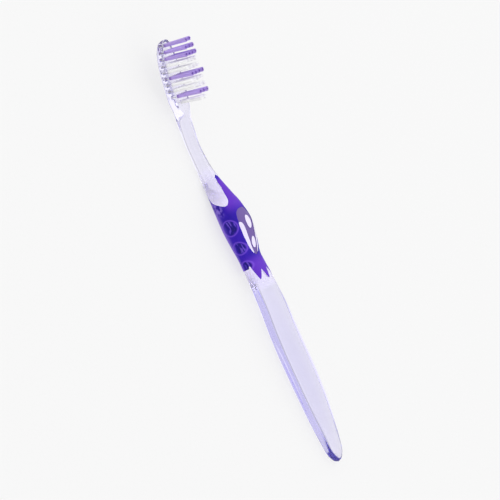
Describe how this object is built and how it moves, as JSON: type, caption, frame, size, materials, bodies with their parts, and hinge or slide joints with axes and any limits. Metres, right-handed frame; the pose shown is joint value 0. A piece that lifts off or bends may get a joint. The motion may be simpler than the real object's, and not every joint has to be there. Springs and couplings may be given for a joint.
{
  "type": "manual toothbrush",
  "caption": "Manual toothbrush with a clear curved handle, a soft overmoulded grip with windows and finger dimples, and rows of bristle tufts in a flat head",
  "frame": {"origin": "middle of the brush's length, on its centre plane, at the height of the flat it rests on", "axes": "+X from the head's tip to the end of the stem, +Y across the brush, +Z from the back to the bristles"},
  "size_m": [0.189, 0.014, 0.0233],
  "materials": {
    "clear_plastic": "clear moulded plastic with a pale lavender tint, polished",
    "soft_grip": "deep violet soft-touch elastomer, satin, slightly translucent where it is thin",
    "violet_bristle": "lilac nylon filaments, semi-translucent",
    "white_bristle": "white nylon filaments, semi-translucent",
    "anchor_metal": "nickel-silver strip, cut edges"
  },
  "bodies": {
    "root": {"handle": "clear_plastic", "grip_sleeve": "soft_grip", "tuft_row_01": "violet_bristle", "tuft_row_02": "violet_bristle", "tuft_row_03": "violet_bristle", "tuft_row_04": "white_bristle", "tuft_row_05": "white_bristle", "tuft_row_06": "violet_bristle", "tuft_row_07": "white_bristle", "tuft_row_08": "white_bristle", "tuft_row_09": "violet_bristle", "tuft_row_10": "white_bristle", "anchor_row_01": "anchor_metal", "anchor_row_02": "anchor_metal", "anchor_row_03": "anchor_metal", "anchor_row_04": "anchor_metal", "anchor_row_05": "anchor_metal", "anchor_row_06": "anchor_metal", "anchor_row_07": "anchor_metal", "anchor_row_08": "anchor_metal", "anchor_row_09": "anchor_metal", "anchor_row_10": "anchor_metal"}
  },
  "joints": []
}
